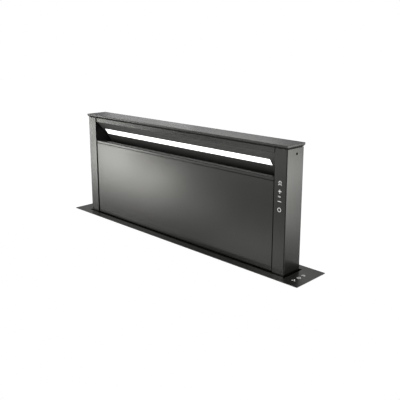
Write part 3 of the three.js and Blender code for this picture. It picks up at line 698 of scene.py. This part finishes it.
bm = bmesh.new()
for i in range(11):
    bead(bm, (-0.345 + 0.006 * i, -0.0920, -0.320), (0, -1, 0), (1, 0, 0), 0.062, 0.0026, 0.0016, 6)
for z in (-0.300, -0.335):
    place = facing((-0.2300, -0.070, z), (1, 0, 0), (0, 0, 1))
    rings = []
    for w, h, t in ((0.0100, 0.0065, -0.0002), (0.0100, 0.0065, 0.0040), (0.0094, 0.0059, 0.0046),
                    (0.0078, 0.0043, 0.0046), (0.0078, 0.0043, 0.0006)):
        rings.append([place @ Vector((a * w, b * h, t)) for a, b in
                      ((-1, -0.8), (-0.85, -1), (0.85, -1), (1, -0.8), (1, 0.8), (0.85, 1), (-0.85, 1), (-1, 0.8))])
    skin_rings(bm, rings, True)
done(bm, "control_box_ribs", [mat_poly], "chassis")

# filters: expanded metal in each frame's front and rear recess
LEAN = math.radians(9.8)
for n, cx in (("left", -0.2375), ("middle", 0.0), ("right", 0.2375)):
    o = nodes["filter_" + n]
    # painted shade: each frame's recess floors, behind the expanded metal, are made dark for depth
    o.data.materials.append(mat_filter_recess_shade)
    for p in o.data.polygons:
        ly = (p.center.y - 0.0069) * math.cos(LEAN) + (p.center.z - 0.122) * math.sin(LEAN)
        lz = -(p.center.y - 0.0069) * math.sin(LEAN) + (p.center.z - 0.122) * math.cos(LEAN)
        if abs(abs(ly) - 0.0025) < 0.0002 and abs(lz) < 0.098 and abs(p.center.x - cx) < 0.109:
            p.material_index = 1
    bm = bmesh.new()
    up = Vector((0, -math.sin(LEAN), math.cos(LEAN)))
    out = Vector((0, -math.cos(LEAN), -math.sin(LEAN)))
    for face in (1, -1):
        base = Vector((cx, 0.0069, 0.122)) + out * face * 0.0026
        place = facing(base, out * face, up)
        px, pz, cols, rows = 0.0090, 0.0050, 24, 38
        for j in range(rows):
            z0 = (j - (rows - 1) / 2) * pz
            path = [((i - cols) * px / 2, z0 + (pz * 0.5 if (i + j) % 2 else -pz * 0.5) * 0.92)
                    for i in range(2 * cols + 1)]
            path = [(max(-0.1078, min(0.1078, x)), max(-0.0968, min(0.0968, y))) for x, y in path]
            stroke(bm, path, 0.0011, place, 0.0011 if j % 2 else 0.0009)
    bmesh.ops.recalc_face_normals(bm, faces=bm.faces)
    mesh_object("filter_mesh_" + n, bm, [mat_filter], "column")

# door inside: stiffening beads, magnet blocks, corner buffers
bm = bmesh.new()
for z in (0.040, 0.105, 0.170):
    bead(bm, (0, -0.0158, z), (0, 1, 0), (0, 0, 1), 0.60, 0.014, 0.0016)
done(bm, "door_beads", [mat_zinc_in], "front_door")
bm = bmesh.new()
for sx in (-1, 1):
    for x0, z0, w, h, t in ((0.318, 0.2105, 0.016, 0.006, 0.0016), (0.340, 0.014, 0.006, 0.006, 0.0014)):
        place = facing((sx * x0, -0.0158, z0), (0, 1, 0), (0, 0, 1))
        rings = []
        for k, zz in ((1.0, -0.0001), (1.0, 0.7), (0.9, 1.0)):
            rings.append([place @ Vector((a * w * k, b * h * k, zz * t if zz > 0 else zz)) for a, b in
                          ((-1, -0.7), (-0.88, -1), (0.88, -1), (1, -0.7), (1, 0.7), (0.88, 1), (-0.88, 1), (-1, 0.7))])
        skin_rings(bm, rings, True)
done(bm, "door_catches", [mat_rubber], "front_door")

# light bar: moulded end caps round the diffuser
bm = bmesh.new()
LED_LEAN = math.radians(35.62)
for x in (-0.3476, 0.3186):
    place = Matrix.Translation((x, 0.0041, 0.26585)) @ Matrix.Rotation(LED_LEAN, 4, "X") @ Matrix.Rotation(math.radians(90), 4, "X")
    rings = []
    for k, zz in ((1.0, -0.0020), (1.0, 0.00005), (0.7, 0.0003)):
        rings.append([place @ Vector((a * 0.0009 * k, b * 0.0104, zz)) for a, b in
                      ((-1, -1), (1, -1), (1, 1), (-1, 1))])
    skin_rings(bm, rings, True)
done(bm, "light_end_caps", [mat_poly], "column")

# -------------------------------------------------------------------- stage


def stage_mesh(name, verts, faces, mat):
    me = bpy.data.meshes.new(name)
    me.from_pydata(verts, [], faces)
    ob = bpy.data.objects.new(name, me)
    scene.collection.objects.link(ob)
    me.materials.append(mat)
    return ob


# worktop: a pale sheet with the cut-out, seen from above only
top = Mat("stage_worktop")
em = top.add("ShaderNodeEmission")
em.inputs["Color"].default_value = (1, 1, 1, 1)
em.inputs["Strength"].default_value = 1.0
clear = top.add("ShaderNodeBsdfTransparent")
geo = top.add("ShaderNodeNewGeometry")
mixs = top.add("ShaderNodeMixShader")
top.link(geo.outputs["Backfacing"], mixs.inputs["Fac"])
top.link(em.outputs["Emission"], mixs.inputs[1])
top.link(clear.outputs["BSDF"], mixs.inputs[2])
top.link(mixs.outputs["Shader"], top.out.inputs["Surface"])
hx, hy = 0.432, 0.049
x0, x1, y0, y1 = -0.449, 1.15, -1.06, 0.0565
worktop = stage_mesh("stage_worktop", [
    (x0, y0, 0), (x1, y0, 0), (x1, y1, 0), (x0, y1, 0),
    (-hx, -hy, 0), (hx, -hy, 0), (hx, hy, 0), (-hx, hy, 0)],
    [(0, 1, 5, 4), (1, 2, 6, 5), (2, 3, 7, 6), (3, 0, 4, 7)], top.m)
worktop.visible_diffuse = False
worktop.visible_glossy = False
worktop.visible_transmission = False
worktop.visible_shadow = False

# floor: pale, far below the worktop, with a faint contact shade under the unit
low = Mat("stage_floor")
glow = low.add("ShaderNodeEmission")
glow.inputs["Color"].default_value = (1, 1, 1, 1)
glow.inputs["Strength"].default_value = 0.86
matt = low.add("ShaderNodeBsdfDiffuse")
matt.inputs["Color"].default_value = (0.86, 0.86, 0.855, 1)
both = low.add("ShaderNodeAddShader")
low.link(glow.outputs["Emission"], both.inputs[0])
low.link(matt.outputs["BSDF"], both.inputs[1])
low.link(both.outputs["Shader"], low.out.inputs["Surface"])
S = 14.0
ground = stage_mesh("stage_floor", [(-S, -S, -0.7025), (S, -S, -0.7025), (S, S, -0.7025), (-S, S, -0.7025)],
                    [(0, 1, 2, 3)], low.m)
ground.visible_glossy = False
ground.visible_diffuse = False

world = bpy.data.worlds.new("stage_world")
scene.world = world
world.use_nodes = True
wt = world.node_tree
wt.nodes.clear()
wo = wt.nodes.new("ShaderNodeOutputWorld")
path = wt.nodes.new("ShaderNodeLightPath")
seen = wt.nodes.new("ShaderNodeBackground")
seen.inputs["Color"].default_value = (1, 1, 1, 1)
seen.inputs["Strength"].default_value = 1.0
fill = wt.nodes.new("ShaderNodeBackground")
fill.inputs["Color"].default_value = (0.98, 0.99, 1.0, 1)
fill.inputs["Strength"].default_value = 0.19
wm = wt.nodes.new("ShaderNodeMixShader")
wt.links.new(path.outputs["Is Camera Ray"], wm.inputs["Fac"])
wt.links.new(fill.outputs["Background"], wm.inputs[1])
wt.links.new(seen.outputs["Background"], wm.inputs[2])
wt.links.new(wm.outputs["Shader"], wo.inputs["Surface"])

scene.view_settings.view_transform = "Standard"
scene.view_settings.look = "None"
scene.view_settings.exposure = 0.0
scene.view_settings.gamma = 1.0


def softbox(name, where, target, w, h, power, colour=(1, 1, 1)):
    d = bpy.data.lights.new(name, "AREA")
    d.shape = "RECTANGLE"
    d.size, d.size_y = w, h
    d.energy = power
    d.color = colour
    ob = bpy.data.objects.new(name, d)
    scene.collection.objects.link(ob)
    ob.location = where
    ob.rotation_mode = "QUATERNION"
    ob.rotation_quaternion = (Vector(target) - Vector(where)).to_track_quat("-Z", "Y")
    return ob


# Cards and softboxes as (name, centre, aim, width, height, radiance).
def ring(elevation, azimuth, count, radiance, name, r=2.6):
    """Softbox on a sphere round the column, azimuth 0 in front and 90 at the right."""
    a, e = math.radians(azimuth), math.radians(elevation)
    where = (r * math.sin(a) * math.cos(e), -r * math.cos(a) * math.cos(e), 0.15 + r * math.sin(e))
    panel(name, where, (0, 0, 0.15), 2 * math.pi * r * math.cos(e) / count, r * math.radians(24), radiance)


def panel(name, where, target, w, h, radiance):
    softbox(name, where, target, w, h, math.pi * w * h * radiance)


# front left, where the door and the fascias look: a wall of cards, dimmer downwards
for x0, x1, z0, z1, radiance in (
    (-3.1, -2.5, -0.2, 0, 5.6),
    (-2.5, -2.0, -0.2, 0, 1.3),
    (-2.5, -2.0, -0.32, -0.2, 6.0),
    (-2.5, -2.0, -0.44, -0.32, 4.75),
    (-2.5, -2.0, -0.58, -0.44, 1.6),
    (-2.0, -1.6, -0.44, -0.32, 3.85),
    (-2.0, -1.6, -0.58, -0.44, 1.7),
    (-1.6, -1.2, -0.58, -0.44, 0.8),
    (-1.2, -0.6, -0.72, -0.58, 0.55),
    (-1.2, -0.6, -0.2, 0, 0.25),
    (-2.5, -2.0, 0.45, 1.25, 1.7),
    (-2.0, -1.6, 0.45, 1.25, 1.1),
    (-0.6, 0.3, 0.45, 1.25, 3.5),
):
    panel("front_card", ((x0 + x1) / 2, -1.5, (z0 + z1) / 2), ((x0 + x1) / 2, 0, (z0 + z1) / 2),
          x1 - x0, z1 - z0, radiance)
# right, where the end face looks
for y0, y1, z0, z1, radiance in (
    (1.0, 1.6, -0.5, -0.3, 1.35),
    (1.0, 1.6, -0.3, -0.1, 2.1),
    (1.0, 1.6, -0.1, 0.15, 1.65),
    (1.6, 2.6, -0.3, -0.1, 1.05),
    (1.6, 2.6, -1.0, -0.5, 0.25),
):
    panel("right_card", (1.5, (y0 + y1) / 2, (z0 + z1) / 2), (0, (y0 + y1) / 2, (z0 + z1) / 2),
          y1 - y0, z1 - z0, radiance)
# back left, where the cap looks
for x0, x1, z0, z1, radiance in (
    (-2.8, -1.8, 0.6, 0.85, 1.25),
    (-1.8, -1, 0.85, 1.3, 1.2),
    (-4, -2.8, 0.85, 1.3, 0.4),
    (-1, -0.3, 0.85, 1.3, 0.4),
):
    panel("back_card", ((x0 + x1) / 2, 1.8, (z0 + z1) / 2), ((x0 + x1) / 2, 0, (z0 + z1) / 2),
          x1 - x0, z1 - z0, radiance)
# front and above, soft
ring(12, 0, 8, 0.9, "soft_front")
ring(12, 45, 8, 0.9, "soft_front_right")
ring(38, 0, 8, 0.9, "soft_above")
